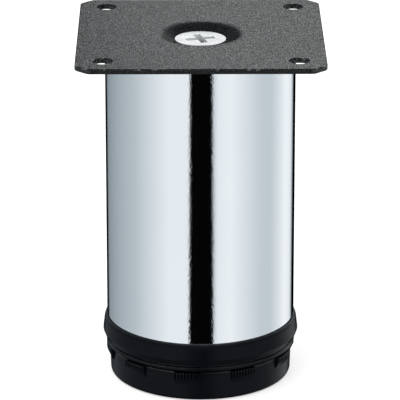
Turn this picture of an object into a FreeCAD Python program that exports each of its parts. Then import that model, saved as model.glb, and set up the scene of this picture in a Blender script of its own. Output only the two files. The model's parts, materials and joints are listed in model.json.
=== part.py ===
"""Height adjustable table leg: a chromed tube under a dished plate, on a foot that screws in and out.

All lengths are in millimetres and all angles in degrees. The origin is the middle of the foot's sole
on the floor, +Z points up the leg and -Y is the front.
"""
import FreeCAD, Part
import math
import os
import re
import Sketcher

# Every size that can be set by itself, by name.
SIZES = (
    # tube
    ("tube_diameter", 60.0),
    ("tube_wall", 1.2),
    ("tube_length", 96.6),
    ("tube_edge_break", 0.3),
    # mounting plate
    ("plate_side", 77.0),
    ("plate_thickness", 1.7),
    ("plate_corner_cut", 4.0),
    ("plate_corner_round", 2.5),
    ("plate_edge_round", 0.3),
    ("plate_hole_spacing", 60.0),
    ("plate_hole_diameter", 6.2),
    ("dish_rim_diameter", 28.6),
    ("dish_bend_radius", 5.0),
    ("dish_wall_angle", 30.0),
    # plate screw
    ("screw_diameter", 8.0),
    ("screw_head_diameter", 16.2),
    ("screw_head_angle", 90.0),
    ("screw_head_land", 0.55),
    ("screw_head_round", 0.15),
    ("head_seat_width", 1.1),
    ("screw_length", 22.0),
    ("screw_tip_chamfer", 1.0),
    ("screw_hole_play", 0.3),
    ("recess_width", 9.3),
    ("recess_wing", 2.3),
    ("recess_depth", 2.2),
    ("recess_taper", 20.0),
    ("recess_angle", 16.0),
    # top plug and its nut
    ("plug_depth", 18.0),
    ("plug_skirt_wall", 2.2),
    ("plug_web", 3.0),
    ("plug_seat", 2.0),
    ("plug_hub_wall", 3.0),
    ("plug_hub_lip", 0.6),
    ("plug_lead_in", 0.8),
    ("plug_rib_count", 8),
    ("plug_rib_thickness", 2.0),
    ("plug_rib_drop", 2.0),
    ("top_nut_flats", 13.0),
    ("top_nut_height", 6.5),
    # end collar and its nut
    ("collar_height", 9.0),
    ("collar_base_reach", 0.25),
    ("collar_waist_reach", 0.4),
    ("collar_flare_reach", 1.3),
    ("collar_flare_height", 3.8),
    ("collar_flare_round", 0.3),
    ("collar_brim_reach", 0.85),
    ("collar_bevel_height", 1.4),
    ("collar_top_reach", 0.35),
    ("collar_brim_round", 0.6),
    ("collar_line_height", 1.55),
    ("collar_line_width", 0.5),
    ("collar_line_depth", 0.6),
    ("collar_lip_round", 0.35),
    ("collar_recess", 1.2),
    ("collar_lip_wall", 2.0),
    ("collar_web", 2.5),
    ("collar_skirt_wall", 2.2),
    ("collar_skirt_depth", 16.0),
    ("collar_hub_wall", 3.2),
    ("collar_hub_roof", 4.0),
    ("collar_lead_in", 0.8),
    ("collar_rib_count", 8),
    ("collar_rib_thickness", 2.0),
    ("collar_rib_drop", 2.0),
    ("collar_nut_flats", 17.0),
    ("collar_nut_height", 8.0),
    ("nut_turned_inset", 0.4),
    ("nut_turned_angle", 30.0),
    # spindle, stop washer and clip
    ("spindle_diameter", 10.0),
    ("spindle_head_flats", 17.0),
    ("spindle_head_height", 6.4),
    ("spindle_head_floor", 1.6),
    ("spindle_neck_diameter", 8.0),
    ("spindle_tip", 1.4),
    ("spindle_tip_chamfer", 0.6),
    ("foot_travel", 20.0),
    ("washer_diameter", 18.0),
    ("washer_thickness", 1.6),
    ("clip_diameter", 13.0),
    ("clip_thickness", 0.8),
    ("clip_groove_depth", 0.6),
    ("clip_opening", 5.6),
    # adjusting foot
    ("foot_height", 9.6),
    ("foot_rim_inset", 0.8),
    ("foot_sole_inset", 0.3),
    ("foot_sole_round", 1.2),
    ("foot_rim_wall", 3.0),
    ("foot_floor", 2.6),
    ("foot_hub_wall", 2.7),
    ("foot_rib_thickness", 2.0),
    ("foot_rib_drop", 1.5),
    ("sole_ring_width", 7.4),
    ("sole_recess_depth", 0.6),
    ("foot_turn_at_rest", 9.2),
    ("lug_count", 10),
    ("lug_span", 15.8),
    ("lug_reach", 1.0),
    ("lug_straight", 1.6),
    ("lug_slope", 2.4),
    ("lug_root", 1.0),
    ("groove_count", 8),
    ("groove_pitch", 1.95),
    ("groove_depth", 0.55),
    ("groove_width", 0.7),
    # clearances
    ("rest_gap", 0.9),
    ("stop_gap", 0.3),
    ("fit_clearance", 0.05),
    ("running_clearance", 0.08),
    ("washer_play", 0.2),
)
ALIASES = {alias for alias, value in SIZES}
TINY = 1e-9
NEAR = 1e-4

# Levels and radii that follow from the sizes, as formulas of their names.
COLLAR_BASE = "(foot_height + rest_gap)"
WEB_UNDERSIDE = f"({COLLAR_BASE} + collar_recess)"
TUBE_BASE = f"({WEB_UNDERSIDE} + collar_web)"
TUBE_TOP = f"({TUBE_BASE} + tube_length)"
PLATE_TOP = f"({TUBE_TOP} + plate_thickness)"
TUBE_RADIUS = "(tube_diameter / 2)"
TUBE_BORE = f"({TUBE_RADIUS} - tube_wall)"
PRESSED_RADIUS = f"({TUBE_BORE} - fit_clearance)"

# The dish: the plate bends down through an arc into a cone, and the screw's head sits in its hole.
DISH_RIM = "(dish_rim_diameter / 2)"
DISH_SLOPE = "dish_wall_angle"
DISH_CENTRE = f"({PLATE_TOP} - dish_bend_radius)"
HEAD_RADIUS = "(screw_head_diameter / 2)"
HEAD_SLOPE = "(90 - screw_head_angle / 2)"
DISH_HOLE = f"({HEAD_RADIUS} - head_seat_width)"
SCREW_HOLE = "(screw_diameter / 2 + screw_hole_play)"


def dish_radius(bend):
    """Radius at which an arc of that bend runs into the cone."""
    return f"({DISH_RIM} - ({bend}) * sin({DISH_SLOPE}))"


def dish_level(bend, radius):
    """Height, at that radius, of the cone below an arc of that bend."""
    tangent = f"({DISH_CENTRE} + ({bend}) * cos({DISH_SLOPE}))"
    return f"({tangent} - ({dish_radius(bend)} - ({radius})) * tan({DISH_SLOPE}))"


DISH_TOP_BEND = "dish_bend_radius"
DISH_UNDER_BEND = "(dish_bend_radius - plate_thickness)"
PLUG_BEND = "(dish_bend_radius - plate_thickness - fit_clearance)"

HEAD_SEAT = f"({dish_level(DISH_TOP_BEND, DISH_HOLE)} + fit_clearance)"
HEAD_EDGE = f"({HEAD_SEAT} + head_seat_width * tan({HEAD_SLOPE}))"
HEAD_TOP = f"({HEAD_EDGE} + screw_head_land)"
HEAD_FOOT = f"({HEAD_EDGE} - ({HEAD_RADIUS} - screw_diameter / 2) * tan({HEAD_SLOPE}))"
SCREW_TIP = f"({HEAD_TOP} - screw_length)"

PLUG_TOP = f"({TUBE_TOP} - fit_clearance)"
PLUG_SEAT = f"({dish_level(PLUG_BEND, SCREW_HOLE)} - plug_seat)"
TOP_NUT_BASE = f"({PLUG_SEAT} - fit_clearance - top_nut_height)"
PLUG_HUB_BASE = f"({TOP_NUT_BASE} - plug_hub_lip)"
PLUG_HUB = "(top_nut_flats / sqrt(3) + plug_hub_wall)"
PLUG_WEB = f"({PLUG_TOP} - plug_web)"

COLLAR_FOOT = f"({TUBE_RADIUS} + collar_base_reach)"
COLLAR_FLARE = f"({TUBE_RADIUS} + collar_flare_reach)"
COLLAR_WAIST = f"({TUBE_RADIUS} + collar_waist_reach)"
COLLAR_BRIM = f"({TUBE_RADIUS} + collar_brim_reach)"
COLLAR_TOP = f"({COLLAR_BASE} + collar_height)"
LINE_LEVEL = f"({COLLAR_BASE} + collar_line_height)"
LIP_TOP = f"({LINE_LEVEL} - collar_line_width / 2)"
FLARE_LEVEL = f"({COLLAR_BASE} + collar_flare_height)"
BRIM_LEVEL = f"({COLLAR_TOP} - collar_bevel_height)"
COLLAR_NUT_BASE = f"({WEB_UNDERSIDE} + fit_clearance)"
COLLAR_NUT_SEAT = f"({COLLAR_NUT_BASE} + collar_nut_height + fit_clearance)"
COLLAR_HUB_TOP = f"({COLLAR_NUT_SEAT} + collar_hub_roof)"
COLLAR_HUB = "(collar_nut_flats / sqrt(3) + collar_hub_wall)"
SPINDLE_BORE = "(spindle_diameter / 2 + running_clearance)"

WASHER_BASE = f"({COLLAR_HUB_TOP} + stop_gap + foot_travel)"
NECK_BASE = f"({WASHER_BASE} - washer_play)"
CLIP_BASE = f"({WASHER_BASE} + washer_thickness + washer_play)"
GROOVE_BASE = f"({CLIP_BASE} - fit_clearance)"
GROOVE_TOP = f"({CLIP_BASE} + clip_thickness + fit_clearance)"
GROOVE_RADIUS = "(spindle_neck_diameter / 2 - clip_groove_depth)"
SPINDLE_TIP = f"({GROOVE_TOP} + spindle_tip)"
SPINDLE_HEAD_TOP = "(spindle_head_floor + spindle_head_height)"

RIM_RADIUS = f"({TUBE_RADIUS} - foot_rim_inset)"
SOLE_RADIUS = f"({RIM_RADIUS} - foot_sole_inset)"
FOOT_HUB = "(spindle_head_flats / sqrt(3) + foot_hub_wall)"
LUG_RADIUS = f"({RIM_RADIUS} + lug_reach)"
LUG_FOOT = "(foot_height - lug_straight - lug_slope)"
LUG_FOOT_RADIUS = f"({SOLE_RADIUS} + ({RIM_RADIUS} - {SOLE_RADIUS}) * {LUG_FOOT} / foot_height)"

doc = FreeCAD.newDocument("table_leg")
sheet = doc.addObject("Spreadsheet::Sheet", "Sizes")
for row, (alias, value) in enumerate(SIZES, start=1):
    sheet.set(f"A{row}", alias)
    sheet.set(f"B{row}", str(value))
    sheet.setAlias(f"B{row}", alias)
doc.recompute()


def bound(formula):
    """The formula with each size's name turned into a reference to its cell."""
    def cell(word):
        return f"Sizes.{word[0]}" if word[0] in ALIASES else word[0]
    return re.sub(r"[a-z_]+", cell, formula)


def number(formula):
    """The formula's value with the sizes that the sheet holds."""
    return float(sheet.evalExpression(formula))


def new_body(label):
    body = doc.addObject("PartDesign::Body", label)
    body.Label = label
    return body


def turned(body, angle):
    """Turns the body about the leg's axis."""
    body.Placement = FreeCAD.Placement(FreeCAD.Vector(), FreeCAD.Rotation(FreeCAD.Vector(0, 0, 1), 1))
    body.setExpression("Placement.Rotation.Angle", bound(f"{angle} * 1 deg"))


def sketch_on(body, name, role, level="0"):
    """A sketch on one of the body's own origin planes, lifted to a level along its normal."""
    sketch = body.newObject("Sketcher::SketchObject", name)
    plane = next(item for item in body.Origin.OriginFeatures if item.Role == role)
    sketch.AttachmentSupport = [(plane, "")]
    sketch.MapMode = "FlatFace"
    sketch.setExpression("AttachmentOffset.Base.z", bound(level))
    return sketch


def hold(sketch, edge, end, across, up):
    """Holds one end of an edge to the sketch's origin by two formulas."""
    for kind, formula, axis in (("DistanceX", across, -2), ("DistanceY", up, -1)):
        value = number(formula)
        if abs(value) < TINY:
            sketch.addConstraint(Sketcher.Constraint("PointOnObject", edge, end, axis))
        else:
            index = sketch.addConstraint(Sketcher.Constraint(kind, -1, 1, edge, end, value))
            sketch.setExpression(f"Constraints[{index}]", bound(formula))


def arc_between(begin, end, radius, side):
    """The short arc from begin to end whose centre lies to the left (1) or right (-1) of the way."""
    chord = end - begin
    left = FreeCAD.Vector(-chord.y, chord.x, 0).normalize()
    rise = math.sqrt(max(radius ** 2 - chord.Length ** 2 / 4, 0))
    centre = (begin + end) * 0.5 + left * rise * side
    first, last = (begin, end) if side > 0 else (end, begin)
    turns = [math.atan2(place.y - centre.y, place.x - centre.x) for place in (first, last)]
    circle = Part.Circle(centre, FreeCAD.Vector(0, 0, 1), radius)
    return Part.ArcOfCircle(circle, turns[0], turns[1])


def outline(sketch, points):
    """A closed outline. A point is (across, up), or (across, up, radius, side) if an arc leads to it."""
    places = [FreeCAD.Vector(number(point[0]), number(point[1]), 0) for point in points]
    ends = []
    for index, point in enumerate(points):
        if len(point) == 2:
            edge = sketch.addGeometry(Part.LineSegment(places[index - 1], places[index]), False)
            ends.append((edge, 1, 2))
        else:
            radius, side = point[2:]
            arc = arc_between(places[index - 1], places[index], number(radius), side)
            edge = sketch.addGeometry(arc, False)
            ends.append((edge, 1, 2) if side > 0 else (edge, 2, 1))
    for index, (edge, start, end) in enumerate(ends):
        before, _, before_end = ends[index - 1]
        sketch.addConstraint(Sketcher.Constraint("Coincident", before, before_end, edge, start))
    for (edge, start, end), point in zip(ends, points):
        hold(sketch, edge, end, point[0], point[1])
        if len(point) > 2:
            index = sketch.addConstraint(Sketcher.Constraint("Radius", edge, number(point[2])))
            sketch.setExpression(f"Constraints[{index}]", bound(point[2]))


def circle(sketch, radius, across="0", up="0"):
    """A circle of that radius about a point."""
    centre = FreeCAD.Vector(number(across), number(up), 0)
    edge = sketch.addGeometry(Part.Circle(centre, FreeCAD.Vector(0, 0, 1), number(radius)), False)
    hold(sketch, edge, 3, across, up)
    index = sketch.addConstraint(Sketcher.Constraint("Radius", edge, number(radius)))
    sketch.setExpression(f"Constraints[{index}]", bound(radius))


def hexagon(sketch, flats):
    """A hexagon about the sketch's origin, by its size across flats."""
    corner = f"(({flats}) / sqrt(3))"
    half = f"(({flats}) / 2)"
    outline(sketch, [
        (corner, "0"),
        (f"{corner} / 2", half),
        (f"-{corner} / 2", half),
        (f"-{corner}", "0"),
        (f"-{corner} / 2", f"-{half}"),
        (f"{corner} / 2", f"-{half}"),
    ])


def extruded(body, kind, name, sketch, length, upward=True):
    """A Pad or Pocket of the sketch, up or down from it by a length."""
    feature = body.newObject(f"PartDesign::{kind}", name)
    feature.Profile = sketch
    feature.setExpression("Length", bound(length))
    feature.Reversed = upward if kind == "Pocket" else not upward
    return feature


def revolved(body, kind, name, sketch, angle="360"):
    """A Revolution or Groove of the sketch about its upright axis, evenly to both sides."""
    feature = body.newObject(f"PartDesign::{kind}", name)
    feature.Profile = sketch
    feature.ReferenceAxis = (sketch, ["V_Axis"])
    feature.Midplane = True
    feature.setExpression("Angle", bound(angle))
    return feature


def repeated(body, name, features, count):
    """A full ring of copies of the features about the body's Z axis."""
    pattern = body.newObject("PartDesign::PolarPattern", name)
    pattern.Originals = features
    pattern.Axis = (features[0].Profile[0], ["N_Axis"])
    pattern.Angle = 360
    pattern.setExpression("Occurrences", bound(count))
    body.Tip = pattern
    return pattern


def edges_where(feature, wanted):
    """Names of the feature's edges that the test picks."""
    doc.recompute()
    return [f"Edge{index}" for index, edge in enumerate(feature.Shape.Edges, start=1) if wanted(edge)]


def ring_at(radius, level):
    """A test for the circular edges of that radius at that height."""
    radius_now = number(radius)
    level_now = number(level)

    def wanted(edge):
        if not isinstance(edge.Curve, Part.Circle):
            return False
        near = abs(edge.Curve.Radius - radius_now) < NEAR
        return near and abs(edge.Curve.Center.z - level_now) < NEAR
    return wanted


def softened(body, kind, name, feature, size, wanted):
    """A Fillet or Chamfer on the edges that the test picks."""
    names = edges_where(feature, wanted)
    edge_break = body.newObject(f"PartDesign::{kind}", name)
    edge_break.Base = (feature, names)
    edge_break.setExpression("Radius" if kind == "Fillet" else "Size", bound(size))
    return edge_break


def hexagon_nut(label, flats, height, bore, level):
    """A hexagon nut with its corners turned off at both faces, standing on a level."""
    body = new_body(label)
    blank = sketch_on(body, f"{label}_blank", "XY_Plane", level)
    hexagon(blank, flats)
    circle(blank, bore)
    extruded(body, "Pad", f"{label}_pad", blank, height)
    corner = f"(({flats}) / sqrt(3))"
    flat = f"(({flats}) / 2 - nut_turned_inset)"
    clear = f"({corner} + nut_turned_inset)"
    drop = f"(({clear} - {flat}) * tan(nut_turned_angle))"
    for end, face, inward in (("lower", level, "+"), ("upper", f"({level} + {height})", "-")):
        cone = sketch_on(body, f"{label}_{end}_cone", "XZ_Plane")
        outline(cone, [
            (flat, face),
            (clear, face),
            (clear, f"{face} {inward} {drop}"),
        ])
        revolved(body, "Groove", f"{label}_{end}_turned", cone)
    return body


# Mounting plate: sheet with cut corners, drawn down in the middle, with four holes.
plate = new_body("mounting_plate")
sheet_outline = sketch_on(plate, "plate_outline", "XY_Plane", TUBE_TOP)
half = "plate_side / 2"
inset = "(plate_side / 2 - plate_corner_cut)"
outline(sheet_outline, [
    (half, f"-{inset}"),
    (half, inset),
    (inset, half),
    (f"-{inset}", half),
    (f"-{half}", inset),
    (f"-{half}", f"-{inset}"),
    (f"-{inset}", f"-{half}"),
    (inset, f"-{half}"),
])
circle(sheet_outline, DISH_RIM)
blank = extruded(plate, "Pad", "plate_blank", sheet_outline, "plate_thickness")
dish_section = sketch_on(plate, "dish_section", "XZ_Plane")
outline(dish_section, [
    (DISH_RIM, PLATE_TOP),
    (dish_radius(DISH_TOP_BEND), dish_level(DISH_TOP_BEND, dish_radius(DISH_TOP_BEND)), DISH_TOP_BEND, 1),
    (DISH_HOLE, dish_level(DISH_TOP_BEND, DISH_HOLE)),
    (DISH_HOLE, dish_level(DISH_UNDER_BEND, DISH_HOLE)),
    (dish_radius(DISH_UNDER_BEND), dish_level(DISH_UNDER_BEND, dish_radius(DISH_UNDER_BEND))),
    (DISH_RIM, TUBE_TOP, DISH_UNDER_BEND, -1),
])
revolved(plate, "Revolution", "dish", dish_section)
hole_sketch = sketch_on(plate, "plate_hole_places", "XY_Plane", TUBE_TOP)
for across in ("", "-"):
    for up in ("", "-"):
        circle(hole_sketch, "plate_hole_diameter / 2",
               f"{across}plate_hole_spacing / 2", f"{up}plate_hole_spacing / 2")
holes = extruded(plate, "Pocket", "plate_holes", hole_sketch, "plate_thickness")


def corner_edge(edge):
    """A straight upright edge, as the plate has at the ends of its cut corners."""
    run = edge.BoundBox
    return isinstance(edge.Curve, Part.Line) and run.XLength < NEAR and run.YLength < NEAR


def rim_edge(edge):
    """An edge of the plate's flat faces, at its outline or at a hole, but not the rim of the dish."""
    run = edge.BoundBox
    flat = run.ZLength < NEAR and min(abs(run.ZMin - number(level)) for level in (TUBE_TOP, PLATE_TOP)) < NEAR
    return flat and FreeCAD.Vector(run.Center.x, run.Center.y, 0).Length > NEAR


corners = softened(plate, "Fillet", "plate_corners", holes, "plate_corner_round", corner_edge)
softened(plate, "Fillet", "plate_edges", corners, "plate_edge_round", rim_edge)

# Plate screw: countersunk head with a tapered cross recess.
screw = new_body("plate_screw")
screw_section = sketch_on(screw, "screw_section", "XZ_Plane")
outline(screw_section, [
    ("0", SCREW_TIP),
    ("screw_diameter / 2 - screw_tip_chamfer", SCREW_TIP),
    ("screw_diameter / 2", f"{SCREW_TIP} + screw_tip_chamfer"),
    ("screw_diameter / 2", HEAD_FOOT),
    (HEAD_RADIUS, HEAD_EDGE),
    (HEAD_RADIUS, HEAD_TOP),
    ("0", HEAD_TOP),
])
screw_turned = revolved(screw, "Revolution", "screw_turned", screw_section)
softened(screw, "Fillet", "screw_head_edge", screw_turned, "screw_head_round", ring_at(HEAD_RADIUS, HEAD_TOP))
recess_sketch = sketch_on(screw, "recess_cross", "XY_Plane", HEAD_TOP)
arm = "recess_width / 2"
wing = "recess_wing / 2"
outline(recess_sketch, [
    (arm, f"-{wing}"),
    (arm, wing),
    (wing, wing),
    (wing, arm),
    (f"-{wing}", arm),
    (f"-{wing}", wing),
    (f"-{arm}", wing),
    (f"-{arm}", f"-{wing}"),
    (f"-{wing}", f"-{wing}"),
    (f"-{wing}", f"-{arm}"),
    (wing, f"-{arm}"),
    (wing, f"-{wing}"),
])
recess = extruded(screw, "Pocket", "recess", recess_sketch, "recess_depth", upward=False)
recess.setExpression("TaperAngle", bound("-recess_taper"))
turned(screw, "recess_angle")

# Leg tube.
tube = new_body("leg_tube")
tube_section = sketch_on(tube, "tube_section", "XY_Plane", TUBE_BASE)
circle(tube_section, TUBE_RADIUS)
circle(tube_section, TUBE_BORE)
tube_pad = extruded(tube, "Pad", "tube_run", tube_section, "tube_length")
softened(tube, "Chamfer", "tube_ends", tube_pad, "tube_edge_break",
         lambda edge: ring_at(TUBE_RADIUS, TUBE_TOP)(edge) or ring_at(TUBE_RADIUS, TUBE_BASE)(edge))

# Top plug: dished under the plate, with a hub for the nut and a skirt in the tube.
plug = new_body("top_plug")
plug_section = sketch_on(plug, "plug_section", "XZ_Plane")
PLUG_FOOT = f"({TUBE_TOP} - plug_depth)"
PLUG_SKIRT = f"({PRESSED_RADIUS} - plug_skirt_wall)"
outline(plug_section, [
    (SCREW_HOLE, PLUG_HUB_BASE),
    (PLUG_HUB, PLUG_HUB_BASE),
    (PLUG_HUB, PLUG_WEB),
    (PLUG_SKIRT, PLUG_WEB),
    (PLUG_SKIRT, PLUG_FOOT),
    (f"{PRESSED_RADIUS} - plug_lead_in", PLUG_FOOT),
    (PRESSED_RADIUS, f"{PLUG_FOOT} + plug_lead_in"),
    (PRESSED_RADIUS, PLUG_TOP),
    (DISH_RIM, PLUG_TOP),
    (dish_radius(PLUG_BEND), dish_level(PLUG_BEND, dish_radius(PLUG_BEND)), PLUG_BEND, 1),
    (SCREW_HOLE, dish_level(PLUG_BEND, SCREW_HOLE)),
])
revolved(plug, "Revolution", "plug_moulding", plug_section)
plug_rib = sketch_on(plug, "plug_rib_section", "XY_Plane", f"{PLUG_HUB_BASE} + plug_rib_drop")
outline(plug_rib, [
    (f"{PLUG_HUB} - plug_hub_wall / 2", "-plug_rib_thickness / 2"),
    (f"{PLUG_SKIRT} + plug_skirt_wall / 2", "-plug_rib_thickness / 2"),
    (f"{PLUG_SKIRT} + plug_skirt_wall / 2", "plug_rib_thickness / 2"),
    (f"{PLUG_HUB} - plug_hub_wall / 2", "plug_rib_thickness / 2"),
])
plug_rib_pad = extruded(plug, "Pad", "plug_rib", plug_rib, f"{PLUG_WEB} - {PLUG_HUB_BASE} - plug_rib_drop")
repeated(plug, "plug_ribs", [plug_rib_pad], "plug_rib_count")
plug_pocket = sketch_on(plug, "plug_nut_place", "XY_Plane", PLUG_HUB_BASE)
hexagon(plug_pocket, "top_nut_flats + 2 * fit_clearance")
extruded(plug, "Pocket", "plug_nut_pocket", plug_pocket, f"{PLUG_SEAT} - {PLUG_HUB_BASE}")

hexagon_nut("top_nut", "top_nut_flats", "top_nut_height",
            "(screw_diameter / 2 + fit_clearance)", TOP_NUT_BASE)

# End collar: wraps the tube's end, with a skirt inside it and a ribbed hub for the nut.
collar = new_body("end_collar")
collar_section = sketch_on(collar, "collar_section", "XZ_Plane")
COLLAR_SKIRT = f"({PRESSED_RADIUS} - collar_skirt_wall)"
COLLAR_SKIRT_TOP = f"({TUBE_BASE} + collar_skirt_depth)"
COLLAR_LIP = f"({COLLAR_FOOT} - collar_lip_wall)"
outline(collar_section, [
    (SPINDLE_BORE, WEB_UNDERSIDE),
    (COLLAR_LIP, WEB_UNDERSIDE),
    (COLLAR_LIP, COLLAR_BASE),
    (COLLAR_FOOT, COLLAR_BASE),
    (COLLAR_FOOT, LINE_LEVEL),
    (COLLAR_WAIST, LINE_LEVEL),
    (COLLAR_FLARE, FLARE_LEVEL),
    (COLLAR_BRIM, BRIM_LEVEL),
    (f"{TUBE_RADIUS} + collar_top_reach", COLLAR_TOP),
    (f"{TUBE_RADIUS} + fit_clearance", COLLAR_TOP),
    (f"{TUBE_RADIUS} + fit_clearance", TUBE_BASE),
    (PRESSED_RADIUS, TUBE_BASE),
    (PRESSED_RADIUS, f"{COLLAR_SKIRT_TOP} - collar_lead_in"),
    (f"{PRESSED_RADIUS} - collar_lead_in", COLLAR_SKIRT_TOP),
    (COLLAR_SKIRT, COLLAR_SKIRT_TOP),
    (COLLAR_SKIRT, TUBE_BASE),
    (COLLAR_HUB, TUBE_BASE),
    (COLLAR_HUB, COLLAR_HUB_TOP),
    (SPINDLE_BORE, COLLAR_HUB_TOP),
])
collar_turned = revolved(collar, "Revolution", "collar_moulding", collar_section)
flare = softened(collar, "Fillet", "collar_flare_edge", collar_turned, "collar_flare_round",
                 ring_at(COLLAR_FLARE, FLARE_LEVEL))
softened(collar, "Fillet", "collar_brim_edge", flare, "collar_brim_round", ring_at(COLLAR_BRIM, BRIM_LEVEL))
line_section = sketch_on(collar, "collar_line_section", "XZ_Plane")
outline(line_section, [
    (f"{COLLAR_WAIST} - collar_line_depth", LIP_TOP),
    (COLLAR_FLARE, LIP_TOP),
    (COLLAR_FLARE, f"{LIP_TOP} + collar_line_width"),
    (f"{COLLAR_WAIST} - collar_line_depth", f"{LIP_TOP} + collar_line_width"),
])
collar_line = revolved(collar, "Groove", "collar_line", line_section)
softened(collar, "Fillet", "collar_lip_edge", collar_line, "collar_lip_round", ring_at(COLLAR_FOOT, LIP_TOP))
collar_rib = sketch_on(collar, "collar_rib_section", "XY_Plane", TUBE_BASE)
outline(collar_rib, [
    (f"{COLLAR_HUB} - collar_hub_wall / 2", "-collar_rib_thickness / 2"),
    (f"{COLLAR_SKIRT} + collar_skirt_wall / 2", "-collar_rib_thickness / 2"),
    (f"{COLLAR_SKIRT} + collar_skirt_wall / 2", "collar_rib_thickness / 2"),
    (f"{COLLAR_HUB} - collar_hub_wall / 2", "collar_rib_thickness / 2"),
])
collar_rib_pad = extruded(collar, "Pad", "collar_rib", collar_rib,
                          f"{COLLAR_HUB_TOP} - {TUBE_BASE} - collar_rib_drop")
repeated(collar, "collar_ribs", [collar_rib_pad], "collar_rib_count")
collar_pocket = sketch_on(collar, "collar_nut_place", "XY_Plane", WEB_UNDERSIDE)
hexagon(collar_pocket, "collar_nut_flats + 2 * fit_clearance")
extruded(collar, "Pocket", "collar_nut_pocket", collar_pocket, f"{COLLAR_NUT_SEAT} - {WEB_UNDERSIDE}")

hexagon_nut("collar_nut", "collar_nut_flats", "collar_nut_height", SPINDLE_BORE, COLLAR_NUT_BASE)

# Spindle: hexagon head in the foot, plain neck for the washer, groove for the clip.
spindle = new_body("spindle")
head_sketch = sketch_on(spindle, "spindle_head_section", "XY_Plane", "spindle_head_floor")
hexagon(head_sketch, "spindle_head_flats")
extruded(spindle, "Pad", "spindle_head", head_sketch, "spindle_head_height")
shank_section = sketch_on(spindle, "spindle_section", "XZ_Plane")
outline(shank_section, [
    ("0", "spindle_head_floor"),
    ("spindle_diameter / 2", "spindle_head_floor"),
    ("spindle_diameter / 2", NECK_BASE),
    ("spindle_neck_diameter / 2", NECK_BASE),
    ("spindle_neck_diameter / 2", GROOVE_BASE),
    (GROOVE_RADIUS, GROOVE_BASE),
    (GROOVE_RADIUS, GROOVE_TOP),
    ("spindle_neck_diameter / 2", GROOVE_TOP),
    ("spindle_neck_diameter / 2", f"{SPINDLE_TIP} - spindle_tip_chamfer"),
    ("spindle_neck_diameter / 2 - spindle_tip_chamfer", SPINDLE_TIP),
    ("0", SPINDLE_TIP),
])
revolved(spindle, "Revolution", "spindle_shank", shank_section)
turned(spindle, "foot_turn_at_rest")

# Stop washer.
washer = new_body("stop_washer")
washer_sketch = sketch_on(washer, "washer_section", "XY_Plane", WASHER_BASE)
circle(washer_sketch, "washer_diameter / 2")
circle(washer_sketch, "spindle_neck_diameter / 2 + running_clearance")
extruded(washer, "Pad", "washer_blank", washer_sketch, "washer_thickness")

# Retaining clip: an open ring that snaps into the spindle's groove.
clip = new_body("retaining_clip")
clip_sketch = sketch_on(clip, "clip_section", "XY_Plane", CLIP_BASE)
circle(clip_sketch, "clip_diameter / 2")
circle(clip_sketch, f"{GROOVE_RADIUS} + fit_clearance")
extruded(clip, "Pad", "clip_blank", clip_sketch, "clip_thickness")
mouth_sketch = sketch_on(clip, "clip_mouth_section", "XY_Plane", CLIP_BASE)
outline(mouth_sketch, [
    ("0", "-clip_opening / 2"),
    ("clip_diameter", "-clip_opening / 2"),
    ("clip_diameter", "clip_opening / 2"),
    ("0", "clip_opening / 2"),
])
extruded(clip, "Pocket", "clip_mouth", mouth_sketch, "clip_thickness")
turned(clip, "foot_turn_at_rest")

# Adjusting foot: an open cup round the spindle's head, with ribbed grip lugs on its rim.
foot = new_body("adjusting_foot")
foot_section = sketch_on(foot, "foot_section", "XZ_Plane")
RIM_INSIDE = f"({RIM_RADIUS} - foot_rim_wall)"
RECESS_RADIUS = f"({SOLE_RADIUS} - sole_ring_width)"
outline(foot_section, [
    ("0", "sole_recess_depth"),
    (RECESS_RADIUS, "sole_recess_depth"),
    (RECESS_RADIUS, "0"),
    (SOLE_RADIUS, "0"),
    (RIM_RADIUS, "foot_height"),
    (RIM_INSIDE, "foot_height"),
    (RIM_INSIDE, "foot_floor"),
    (FOOT_HUB, "foot_floor"),
    (FOOT_HUB, "foot_height"),
    ("0", "foot_height"),
])
foot_cup = revolved(foot, "Revolution", "foot_cup", foot_section)
softened(foot, "Fillet", "sole_edge", foot_cup, "foot_sole_round", ring_at(SOLE_RADIUS, "0"))
foot_rib = sketch_on(foot, "foot_rib_section", "XY_Plane", "foot_floor")
outline(foot_rib, [
    (f"{FOOT_HUB} - foot_hub_wall / 2", "-foot_rib_thickness / 2"),
    (f"{RIM_INSIDE} + foot_rim_wall / 2", "-foot_rib_thickness / 2"),
    (f"{RIM_INSIDE} + foot_rim_wall / 2", "foot_rib_thickness / 2"),
    (f"{FOOT_HUB} - foot_hub_wall / 2", "foot_rib_thickness / 2"),
])
foot_rib_pad = extruded(foot, "Pad", "foot_rib", foot_rib, "foot_height - foot_floor - foot_rib_drop")
repeated(foot, "foot_ribs", [foot_rib_pad], "lug_count")
head_place = sketch_on(foot, "head_place", "XY_Plane", "spindle_head_floor - fit_clearance")
hexagon(head_place, "spindle_head_flats + 2 * fit_clearance")
extruded(foot, "Pocket", "head_cavity", head_place, "spindle_head_height + 2 * fit_clearance")
shank_place = sketch_on(foot, "shank_place", "XY_Plane", SPINDLE_HEAD_TOP)
circle(shank_place, "spindle_diameter / 2 + fit_clearance")
extruded(foot, "Pocket", "shank_hole", shank_place, f"foot_height - {SPINDLE_HEAD_TOP}")
lug_section = sketch_on(foot, "lug_section", "XZ_Plane")
outline(lug_section, [
    (f"{LUG_FOOT_RADIUS} - lug_root", LUG_FOOT),
    (LUG_FOOT_RADIUS, LUG_FOOT),
    (LUG_RADIUS, f"{LUG_FOOT} + lug_slope"),
    (LUG_RADIUS, "foot_height"),
    (f"{LUG_FOOT_RADIUS} - lug_root", "foot_height"),
])
lug = revolved(foot, "Revolution", "lug", lug_section, "lug_span")
lugs = foot.newObject("PartDesign::PolarPattern", "lugs")
lugs.Originals = [lug]
lugs.Axis = (lug_section, ["V_Axis"])
lugs.Angle = 360
lugs.setExpression("Occurrences", bound("lug_count"))
foot.Tip = lugs
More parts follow.
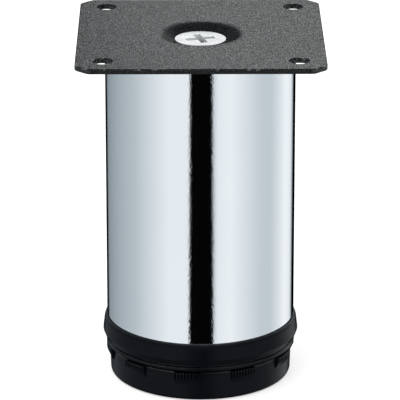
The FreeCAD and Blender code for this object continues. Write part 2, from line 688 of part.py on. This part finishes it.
FIRST_GROOVE = "(-groove_pitch * (groove_count - 1) / 2)"
GROOVE_ROOT = f"({LUG_RADIUS} - groove_depth)"
GROOVE_MOUTH = f"({LUG_RADIUS} + groove_depth)"
groove_sketch = sketch_on(foot, "grip_groove_section", "XY_Plane", LUG_FOOT)
outline(groove_sketch, [
    (f"{GROOVE_ROOT} * cos({FIRST_GROOVE})", f"{GROOVE_ROOT} * sin({FIRST_GROOVE})"),
    (f"{GROOVE_MOUTH} * cos({FIRST_GROOVE}) + groove_width * sin({FIRST_GROOVE})",
     f"{GROOVE_MOUTH} * sin({FIRST_GROOVE}) - groove_width * cos({FIRST_GROOVE})"),
    (f"{GROOVE_MOUTH} * cos({FIRST_GROOVE}) - groove_width * sin({FIRST_GROOVE})",
     f"{GROOVE_MOUTH} * sin({FIRST_GROOVE}) + groove_width * cos({FIRST_GROOVE})"),
])
grip_groove = extruded(foot, "Pocket", "grip_groove", groove_sketch, "lug_straight + lug_slope")
grip_grooves = foot.newObject("PartDesign::MultiTransform", "grip_grooves")
across_lug = doc.addObject("PartDesign::PolarPattern", "grooves_of_a_lug")
across_lug.Axis = (groove_sketch, ["N_Axis"])
across_lug.setExpression("Angle", bound("groove_pitch * (groove_count - 1)"))
across_lug.setExpression("Occurrences", bound("groove_count"))
round_foot = doc.addObject("PartDesign::PolarPattern", "grooves_of_all_lugs")
round_foot.Axis = (groove_sketch, ["N_Axis"])
round_foot.Angle = 360
round_foot.setExpression("Occurrences", bound("lug_count"))
grip_grooves.Originals = [grip_groove]
grip_grooves.Transformations = [across_lug, round_foot]
foot.Tip = grip_grooves
turned(foot, "foot_turn_at_rest")

doc.recompute()

# Everything is sound before anything is written.
for item in doc.Objects:
    if "Invalid" in item.State or "Error" in item.State:
        raise RuntimeError(f"{item.Label} did not build: {item.State}")
    if item.TypeId in ("PartDesign::Pocket", "PartDesign::Groove"):
        if item.Shape.Volume >= item.BaseFeature.Shape.Volume:
            raise RuntimeError(f"{item.Label} cuts nothing")
bodies = [item for item in doc.Objects if item.TypeId == "PartDesign::Body"]
for body in bodies:
    if body.Shape.isNull() or not body.Shape.isValid() or len(body.Shape.Solids) != 1:
        raise RuntimeError(f"{body.Label} is not one sound solid")
os.makedirs("parts", exist_ok=True)
for body in bodies:
    body.Shape.exportStep(f"parts/{body.Label}.step")
    print(f"{body.Label}: {body.Shape.Volume:.1f} mm3, {len(body.Shape.Faces)} faces")
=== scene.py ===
"""Looks of the height adjustable table leg: finishes, spindle thread, studio and camera. Metres."""
import json
import math

import bpy
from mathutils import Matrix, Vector


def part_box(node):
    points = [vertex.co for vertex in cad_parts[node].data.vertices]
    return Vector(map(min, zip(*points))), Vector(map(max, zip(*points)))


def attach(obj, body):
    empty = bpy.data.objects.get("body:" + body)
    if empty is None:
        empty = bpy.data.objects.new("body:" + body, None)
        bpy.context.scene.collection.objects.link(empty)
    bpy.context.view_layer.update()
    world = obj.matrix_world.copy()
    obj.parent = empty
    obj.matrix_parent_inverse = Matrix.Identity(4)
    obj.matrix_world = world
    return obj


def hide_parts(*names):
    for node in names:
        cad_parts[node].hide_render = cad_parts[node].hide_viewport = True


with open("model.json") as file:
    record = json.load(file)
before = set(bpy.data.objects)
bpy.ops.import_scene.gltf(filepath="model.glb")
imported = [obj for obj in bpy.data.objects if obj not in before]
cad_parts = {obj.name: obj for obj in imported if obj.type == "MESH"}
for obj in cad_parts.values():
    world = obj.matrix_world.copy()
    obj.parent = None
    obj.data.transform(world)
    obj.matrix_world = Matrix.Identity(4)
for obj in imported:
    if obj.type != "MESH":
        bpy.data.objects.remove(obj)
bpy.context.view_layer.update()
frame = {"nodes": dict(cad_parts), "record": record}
nodes = frame["nodes"]
scene = bpy.context.scene


# Shader nodes

def feed(tree, socket, value):
    """Links a socket to another node's output, or sets it to a plain value."""
    if isinstance(value, bpy.types.NodeSocket):
        tree.links.new(value, socket)
    else:
        socket.default_value = value


def add(tree, kind, inputs=None, **settings):
    """A new node with its settings, its inputs fed by their names or numbers."""
    node = tree.nodes.new(kind)
    for name, value in settings.items():
        setattr(node, name, value)
    for name, value in (inputs or {}).items():
        feed(tree, node.inputs[name], value)
    return node


def calculated(tree, operation, first, second=0.0):
    """The result of a calculation with one or two numbers."""
    return add(tree, "ShaderNodeMath", {0: first, 1: second}, operation=operation).outputs["Value"]


def ranged(tree, value, low, high, start=0.3, end=0.7):
    """A value between start and end, carried over to low and high."""
    inputs = {"Value": value, "From Min": start, "From Max": end, "To Min": low, "To Max": high}
    return add(tree, "ShaderNodeMapRange", inputs).outputs["Result"]


def split(tree, vector):
    """The X, Y and Z of a vector."""
    return add(tree, "ShaderNodeSeparateXYZ", {"Vector": vector}).outputs


def shades(tree, value, stops):
    """A colour ramp over a value, from (position, colour) stops."""
    node = add(tree, "ShaderNodeValToRGB", {"Fac": value})
    ramp = node.color_ramp
    while len(ramp.elements) < len(stops):
        ramp.elements.new(0.5)
    for element, (position, colour) in zip(ramp.elements, stops):
        element.position = position
        element.color = (*colour, 1.0)
    return node.outputs["Color"]


def mixed_colours(tree, factor, first, second, blend="MIX"):
    """Two colours blended by a factor."""
    inputs = {"Factor": factor, "A": first, "B": second}
    return add(tree, "ShaderNodeMix", inputs, data_type="RGBA", blend_type=blend).outputs["Result"]


def mixed_shaders(tree, factor, first, second):
    """Two shaders blended by a factor."""
    return add(tree, "ShaderNodeMixShader", {0: factor, 1: first, 2: second}).outputs["Shader"]


def piece_point(tree, stretch=(1, 1, 1)):
    """The point on a piece in metres, scaled along its axes."""
    place = add(tree, "ShaderNodeTexCoord")
    mapping = add(tree, "ShaderNodeMapping", {"Vector": place.outputs["Object"], "Scale": stretch})
    return mapping.outputs["Vector"]


def noise(tree, point, scale, detail=3.0, roughness=0.5):
    """Soft random values over the points of a piece, mostly between 0.3 and 0.7."""
    inputs = {"Vector": point, "Scale": scale, "Detail": detail, "Roughness": roughness}
    return add(tree, "ShaderNodeTexNoise", inputs).outputs["Fac"]


def bumped(tree, height, distance, strength, under=None):
    """The normal of a surface raised by a height, on top of another bump where there is one."""
    inputs = {"Height": height, "Distance": distance, "Strength": strength}
    if under is not None:
        inputs["Normal"] = under
    return add(tree, "ShaderNodeBump", inputs).outputs["Normal"]


# Finishes

RIM_SAMPLES = 4
RIM_BEND_FULL, RIM_BEND_NONE = 0.92, 0.99  # cosine of the bend at a rim
RIM_TILT_NONE, RIM_TILT_FULL = 0.05, 0.25  # upward part of the rounded normal
RIM_REACH = 0.0010


def upper_rims(tree):
    """One along the upper rims of a piece, and zero on its other edges and away from them."""
    rounded = add(tree, "ShaderNodeBevel", {"Radius": RIM_REACH}, samples=RIM_SAMPLES).outputs["Normal"]
    surface = add(tree, "ShaderNodeNewGeometry").outputs["Normal"]
    bend = add(tree, "ShaderNodeVectorMath", {0: rounded, 1: surface}, operation="DOT_PRODUCT")
    edge = ranged(tree, bend.outputs["Value"], 1.0, 0.0, RIM_BEND_FULL, RIM_BEND_NONE)
    upper = ranged(tree, split(tree, rounded)["Z"], 0.0, 1.0, RIM_TILT_NONE, RIM_TILT_FULL)
    return calculated(tree, "MULTIPLY", edge, upper)


def new_material(name):
    """A material with one Principled shader, its node tree, and the sockets of that shader."""
    material = bpy.data.materials.new(name)
    material.use_nodes = True
    tree = material.node_tree
    return material, tree, tree.nodes["Principled BSDF"].inputs


def powder_coat():
    """Black grained powder coat, mixed towards a light grey in specks along the upper rims."""
    hollow, crown, speck_grey = (0.003, 0.0033, 0.0038), (0.014, 0.015, 0.0165), (0.26, 0.27, 0.28, 1)
    grain_height = 0.00012
    material, tree, shader = new_material("powder_coat")
    point = piece_point(tree)
    grain = noise(tree, point, scale=2700, detail=1.0)
    coat = shades(tree, grain, [(0.35, hollow), (0.68, crown)])
    specks = ranged(tree, noise(tree, point, scale=520, detail=2.0), 0.0, 1.0, start=0.58, end=0.65)
    # Specks along the upward-facing rims are mixed towards a light grey.
    rim_specks = calculated(tree, "MULTIPLY", upper_rims(tree), specks)
    feed(tree, shader["Base Color"], mixed_colours(tree, rim_specks, coat, speck_grey))
    feed(tree, shader["Specular IOR Level"], ranged(tree, grain, 0.1, 1.0, start=0.40, end=0.60))
    feed(tree, shader["Roughness"], ranged(tree, grain, 0.42, 0.24, start=0.40, end=0.60))
    feed(tree, shader["Normal"], bumped(tree, grain, grain_height, strength=0.8))
    return material


def chrome():
    """Polished chrome with the faint drawing lines and pores of the tube under it."""
    dull, clear = (0.835, 0.880, 0.912), (0.850, 0.895, 0.925)
    line_height, pore_depth = 0.00002, 0.000016
    along_tube = (1, 1, 0.5)
    material, tree, shader = new_material("chrome")
    point = piece_point(tree)
    lines = noise(tree, piece_point(tree, along_tube), scale=700, roughness=0.55)
    haze = noise(tree, point, scale=45)
    pores = noise(tree, point, scale=1900, detail=2.0)
    drawn = bumped(tree, lines, line_height, strength=0.25)
    feed(tree, shader["Metallic"], 1.0)
    feed(tree, shader["Base Color"], shades(tree, haze, [(0.3, dull), (0.7, clear)]))
    feed(tree, shader["Roughness"], ranged(tree, haze, 0.025, 0.05))
    feed(tree, shader["Normal"], bumped(tree, pores, pore_depth, strength=1.0, under=drawn))
    return material


def zinc():
    """Bright zinc plating over turned and pressed steel."""
    dull, clear = (0.60, 0.62, 0.62), (0.76, 0.77, 0.77)
    grit_height = 0.00002
    material, tree, shader = new_material("zinc")
    point = piece_point(tree)
    grit = noise(tree, point, scale=1400)
    cloud = noise(tree, point, scale=260)
    feed(tree, shader["Metallic"], 0.8)
    feed(tree, shader["Base Color"], shades(tree, cloud, [(0.3, dull), (0.7, clear)]))
    feed(tree, shader["Roughness"], ranged(tree, grit, 0.17, 0.30))
    feed(tree, shader["Normal"], bumped(tree, grit, grit_height, strength=0.5))
    return material


def black_plastic():
    """Black moulded plastic with a satin skin, rubbed shinier along the upper rims."""
    deep, pale = (0.0026, 0.0038, 0.0062), (0.0036, 0.0049, 0.0075)
    skin_height = 0.00002
    material, tree, shader = new_material("black_plastic")
    point = piece_point(tree)
    skin = noise(tree, point, scale=2600)
    flow = noise(tree, point, scale=120, detail=2.0)
    patches = ranged(tree, noise(tree, point, scale=300, detail=2.0), 0.4, 1.0)
    rubbed = calculated(tree, "MULTIPLY", upper_rims(tree), patches)
    feed(tree, shader["Base Color"], shades(tree, flow, [(0.3, deep), (0.7, pale)]))
    feed(tree, shader["Specular IOR Level"], ranged(tree, rubbed, 0.08, 0.75, start=0.0, end=1.0))
    feed(tree, shader["Roughness"], ranged(tree, flow, 0.24, 0.32))
    feed(tree, shader["Normal"], bumped(tree, skin, skin_height, strength=0.5))
    return material


FINISHES = {
    "plate_paint": powder_coat(),
    "tube_chrome": chrome(),
    "zinc_steel": zinc(),
    "black_plastic": black_plastic(),
}
for part in frame["record"]["subparts"]:
    node = nodes[part["node"]]
    node.data.materials.clear()
    node.data.materials.append(FINISHES[part["material_slot"]])


def new_piece(name, points, faces, material):
    """A mesh piece of one material, linked to the scene."""
    mesh = bpy.data.meshes.new(name)
    mesh.from_pydata(points, [], faces)
    mesh.materials.append(material)
    piece = bpy.data.objects.new(name, mesh)
    scene.collection.objects.link(piece)
    return piece


# Spindle with its thread

SPINDLE_COLUMNS = 48
SPINDLE_TURN = math.radians(9.2)
HEAD_INNER_RADIUS, HEAD_HEIGHT = 0.0085, 0.0064
CREST_RADIUS, ROOT_RADIUS, PITCH = 0.005, 0.00412, 0.0015
STEPS_PER_PITCH = 12
RIDGE_TOP, RIDGE_SLOPE = 1.6, 3.8  # the ridge is cut off at 1, which leaves a flat crest
HEAD_RUN_OUT, NECK_RUN_OUT = 0.001, 0.0012
NECK_RADIUS, GROOVE_RADIUS, TIP_CHAMFER = 0.004, 0.0034, 0.0006
WASHER_PLAY, CLIP_PLAY = 0.0002, 0.00005


def column_angle(column):
    """The angle of a column from the first one."""
    return math.radians(360 / SPINDLE_COLUMNS * column)


def hexagon_radius(column):
    """The radius of the hexagon head at a column."""
    from_flat = column_angle(column) % math.radians(60) - math.radians(30)
    return HEAD_INNER_RADIUS / math.cos(from_flat)


def thread_radius(column, over_head, under_neck):
    """The radius of the thread at a column, which runs out towards the head and the neck."""
    depth = max(0, min(1, over_head / HEAD_RUN_OUT, under_neck / NECK_RUN_OUT))
    along = (over_head / PITCH - column / SPINDLE_COLUMNS) % 1.0
    ridge = min(1, max(0, RIDGE_TOP - abs(along - 0.5) * RIDGE_SLOPE))
    return CREST_RADIUS - (CREST_RADIUS - ROOT_RADIUS) * (1 - ridge) * depth


def spindle_rings():
    """The rings of the spindle from its head up, each a level and a radius for each column."""
    columns = range(SPINDLE_COLUMNS)
    low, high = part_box("spindle")
    washer_low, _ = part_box("stop_washer")
    clip_low, clip_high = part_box("retaining_clip")
    head_top = low.z + HEAD_HEIGHT
    neck_base = washer_low.z - WASHER_PLAY
    groove_base, groove_top = clip_low.z - CLIP_PLAY, clip_high.z + CLIP_PLAY
    head = [hexagon_radius(column) for column in columns]
    rings = [(low.z, head), (head_top, head)]
    steps = round((neck_base - head_top) / PITCH * STEPS_PER_PITCH)
    for step in range(steps + 1):
        level = head_top + (neck_base - head_top) * step / steps
        radii = [thread_radius(column, level - head_top, neck_base - level) for column in columns]
        rings.append((level, radii))
    for level, radius in (
        (neck_base, NECK_RADIUS),
        (groove_base, NECK_RADIUS),
        (groove_base, GROOVE_RADIUS),
        (groove_top, GROOVE_RADIUS),
        (groove_top, NECK_RADIUS),
        (high.z - TIP_CHAMFER, NECK_RADIUS),
        (high.z, NECK_RADIUS - TIP_CHAMFER),
    ):
        rings.append((level, [radius] * SPINDLE_COLUMNS))
    return rings


def threaded_spindle():
    """The spindle with its hexagon head, rolled thread, neck, clip groove and tip as one closed skin."""
    rings = spindle_rings()
    points = []
    for level, radii in rings:
        for column, radius in enumerate(radii):
            angle = column_angle(column) + SPINDLE_TURN
            points.append((radius * math.cos(angle), radius * math.sin(angle), level))
    faces = []
    for row in range(len(rings) - 1):
        below, above = row * SPINDLE_COLUMNS, (row + 1) * SPINDLE_COLUMNS
        for column in range(SPINDLE_COLUMNS):
            beside = (column + 1) % SPINDLE_COLUMNS
            faces.append((below + column, below + beside, above + beside, above + column))
    faces.append(tuple(reversed(range(SPINDLE_COLUMNS))))
    faces.append(tuple(range(len(points) - SPINDLE_COLUMNS, len(points))))
    piece = new_piece("threaded_spindle", points, faces, FINISHES["zinc_steel"])
    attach(piece, "foot")
    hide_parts("spindle")


threaded_spindle()


# Studio

WHITE = (1, 1, 1, 1)
FLOOR_REACH, FLOOR_LEVEL = 12.0, -0.0002
FLOOR_GREY, FLOOR_GLOW = (0.8, 0.8, 0.8, 1), 0.55
SOFT_LIGHT = 0.75

# Soft boxes that the leg mirrors: bearing in degrees from the front, turning to the right, and level.
SOFT_BOXES = (
    (-158, 0.0), (-152, 0.30), (-115, 0.47), (-88, 0.57), (-64, 0.75), (-40, 0.93), (0, 0.93),
    (14, 0.72), (18.5, 0.78), (21, 0.91), (37, 0.96), (70, 0.72), (80, 0.66), (95, 0.65), (126, 1.0),
    (140, 0.92), (146, 0.70), (150, 0.30), (153, 0.0),
)
# Dark gap between them at the front, which widens downwards: the heights are the Z of a direction.
GAP_BEARING, GAP_BLUR = math.radians(0.7), math.radians(1.7)
GAP_HALF_LOW, GAP_HALF_HIGH = math.radians(14.38), math.radians(12.78)
GAP_LOW, GAP_HIGH = -0.374, -0.296
GAP_LEVEL = 0.0016
# The boxes fade towards the ground.
GROUND_FULL, GROUND_NONE, GROUND_LEVEL = -0.8, -0.45, 0.3
# Ceiling over them: the Y of a direction, front to back, and level.
CEILING = ((-1.0, 0.7), (-0.72, 0.6), (-0.5, 0.1), (0.5, 0.1), (1.0, 0.14))
CEILING_NONE, CEILING_FULL = 0.19, 0.27

LAMP_AIM = Vector((0, 0, 0.1))
CAMERA_PLACE = (-0.00612, -1.0, 0.4073)
CAMERA_PITCH, CAMERA_YAW = -19.30, -0.344
CAMERA_SENSOR, CAMERA_LENS = 36.0, 299.15  # millimetres
CAMERA_SIGHT = 100.0


def pale_floor():
    """A matte finish, lifted towards white for the camera and clear from below."""
    material = bpy.data.materials.new("pale_floor")
    material.use_nodes = True
    tree = material.node_tree
    tree.nodes.clear()
    path = add(tree, "ShaderNodeLightPath")
    side = add(tree, "ShaderNodeNewGeometry")
    matte = add(tree, "ShaderNodeBsdfDiffuse", {"Color": FLOOR_GREY})
    strength = calculated(tree, "MULTIPLY", path.outputs["Is Camera Ray"], FLOOR_GLOW)
    glow = add(tree, "ShaderNodeEmission", {"Color": WHITE, "Strength": strength})
    both = add(tree, "ShaderNodeAddShader", {0: matte.outputs["BSDF"], 1: glow.outputs["Emission"]})
    clear = add(tree, "ShaderNodeBsdfTransparent")
    shown = mixed_shaders(tree, side.outputs["Backfacing"], both.outputs["Shader"], clear.outputs["BSDF"])
    add(tree, "ShaderNodeOutputMaterial", {"Surface": shown})
    return material


def floor():
    """A pale floor that keeps the leg's soft shadow and stays under the foot."""
    sides = ((-1, -1), (1, -1), (1, 1), (-1, 1))
    corners = [(x * FLOOR_REACH, y * FLOOR_REACH, FLOOR_LEVEL) for x, y in sides]
    piece = new_piece("floor", corners, [(0, 1, 2, 3)], pale_floor())
    piece.visible_glossy = False
    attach(piece, "foot")


def cool(level):
    """A grey that turns cooler as it gets darker."""
    return level * (0.83 + 0.17 * level), level, level * (1.13 - 0.13 * level)


def soft_boxes(tree, direction):
    """The light of the soft boxes around the leg, with the dark gap at the front."""
    forward = calculated(tree, "MULTIPLY", direction["Y"], -1.0)
    bearing = calculated(tree, "ARCTAN2", direction["X"], forward)
    turn = ranged(tree, bearing, 0.0, 1.0, -math.pi, math.pi)
    boxes = shades(tree, turn, [((degrees + 180) / 360, cool(level)) for degrees, level in SOFT_BOXES])
    gap_start = ranged(tree, direction["Z"], GAP_HALF_LOW, GAP_HALF_HIGH, GAP_LOW, GAP_HIGH)
    gap_end = calculated(tree, "ADD", gap_start, GAP_BLUR)
    from_gap = calculated(tree, "ABSOLUTE", calculated(tree, "SUBTRACT", bearing, GAP_BEARING))
    beside_gap = ranged(tree, from_gap, GAP_LEVEL, 1.0, gap_start, gap_end)
    over_ground = ranged(tree, direction["Z"], GROUND_LEVEL, 1.0, GROUND_FULL, GROUND_NONE)
    share = calculated(tree, "MULTIPLY", over_ground, beside_gap)
    return mixed_colours(tree, 1.0, boxes, share, blend="MULTIPLY")


def surroundings():
    """A white background, plain soft light, and soft boxes under a dim ceiling for the leg to mirror."""
    world = bpy.data.worlds.new("studio")
    scene.world = world
    world.use_nodes = True
    world.cycles.sampling_method = "NONE"
    tree = world.node_tree
    tree.nodes.clear()
    direction = split(tree, add(tree, "ShaderNodeTexCoord").outputs["Generated"])
    depth = ranged(tree, direction["Y"], 0.0, 1.0, -1.0, 1.0)
    ceiling = shades(tree, depth, [((y + 1) / 2, cool(level)) for y, level in CEILING])
    height = ranged(tree, direction["Z"], 0.0, 1.0, CEILING_NONE, CEILING_FULL)
    mirrored = mixed_colours(tree, height, soft_boxes(tree, direction), ceiling)
    plain = add(tree, "ShaderNodeBackground", {"Color": WHITE, "Strength": SOFT_LIGHT})
    mirror = add(tree, "ShaderNodeBackground", {"Color": mirrored})
    white = add(tree, "ShaderNodeBackground", {"Color": WHITE})
    path = add(tree, "ShaderNodeLightPath").outputs
    in_mirror = calculated(tree, "MAXIMUM", path["Is Glossy Ray"], path["Is Transmission Ray"])
    light = mixed_shaders(tree, in_mirror, plain.outputs["Background"], mirror.outputs["Background"])
    shown = mixed_shaders(tree, path["Is Camera Ray"], light, white.outputs["Background"])
    add(tree, "ShaderNodeOutputWorld", {"Surface": shown})


def lamp(name, place, width, height, energy, mirrored):
    """A flat soft lamp aimed at the leg, seen in its mirroring surfaces or not."""
    light = bpy.data.lights.new(name, "AREA")
    light.shape = "RECTANGLE"
    light.size = width
    light.size_y = height
    light.energy = energy
    piece = bpy.data.objects.new(name, light)
    piece.location = place
    piece.rotation_euler = (LAMP_AIM - piece.location).to_track_quat("-Z", "Y").to_euler()
    piece.visible_camera = False
    piece.visible_glossy = mirrored
    scene.collection.objects.link(piece)


def camera():
    """The camera at the front, looking down on the plate."""
    lens = bpy.data.cameras.new("camera")
    lens.sensor_width = CAMERA_SENSOR
    lens.lens = CAMERA_LENS
    lens.clip_end = CAMERA_SIGHT
    piece = bpy.data.objects.new("camera", lens)
    piece.location = CAMERA_PLACE
    piece.rotation_euler = (math.radians(90 + CAMERA_PITCH), 0, math.radians(CAMERA_YAW))
    scene.collection.objects.link(piece)
    scene.camera = piece


floor()
surroundings()
lamp("soft_lamp", (-0.5, -0.6, 1.4), width=1.1, height=1.1, energy=6.0, mirrored=False)
lamp("back_panel", (0.055, 0.62, 0.36), width=0.26, height=0.30, energy=0.30, mirrored=True)
camera()
scene.view_settings.view_transform = "Standard"
